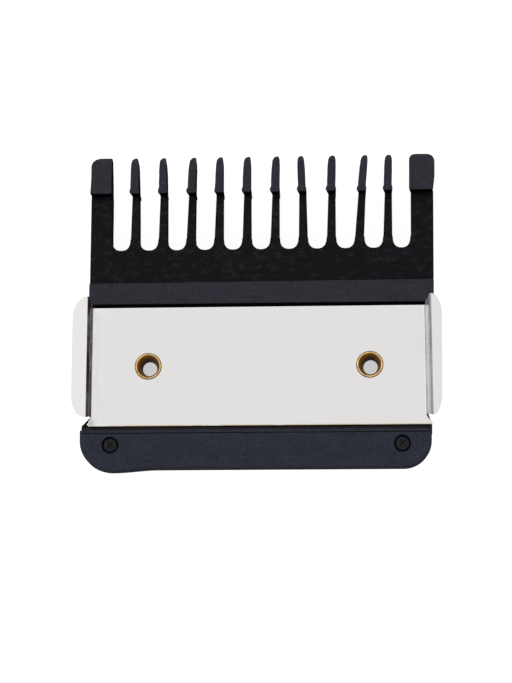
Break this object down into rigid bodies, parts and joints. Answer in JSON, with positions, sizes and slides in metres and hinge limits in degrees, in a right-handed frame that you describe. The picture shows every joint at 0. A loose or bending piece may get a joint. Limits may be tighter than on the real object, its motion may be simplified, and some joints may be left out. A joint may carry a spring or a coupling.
{
  "type": "clipper guard comb",
  "caption": "Clipper guard comb: moulded comb with thin tines between wide outer ones, sprung sheet clip for the blade held by brass hollow rivets, and a screwed-on heel bar.",
  "frame": {"origin": "centre of the clip plate's upper face, midway between the two hollow rivets", "axes": "+X to the right across the tines, +Y towards the tips of the tines, +Z out of the clip plate towards the clipper blade"},
  "size_m": [0.051, 0.0445, 0.0089],
  "materials": {
    "comb_plastic": "black moulded nylon, satin with fine wear scratches",
    "heel_plastic": "black moulded nylon, matte",
    "nickel_sheet": "bright nickel-plated spring sheet",
    "rivet_brass": "turned brass, slightly tarnished",
    "screw_black": "blackened steel"
  },
  "bodies": {
    "comb": {"comb_body": "comb_plastic", "heel_bar": "heel_plastic", "clip_plate": "nickel_sheet", "rivet_left": "rivet_brass", "rivet_right": "rivet_brass", "screw_left": "screw_black", "screw_right": "screw_black"},
    "side_left": {"clip_side_left": "nickel_sheet"},
    "side_right": {"clip_side_right": "nickel_sheet"}
  },
  "joints": [
    {"name": "side_left_spring", "type": "hinge", "parent": "comb", "child": "side_left", "pos_m": [-0.02295, 0, -0.0005], "axis": [0, -1, 0], "range_deg": [0, 6]},
    {"name": "side_right_spring", "type": "hinge", "parent": "comb", "child": "side_right", "pos_m": [0.02295, 0, -0.0005], "axis": [0, 1, 0], "range_deg": [0, 6]}
  ]
}
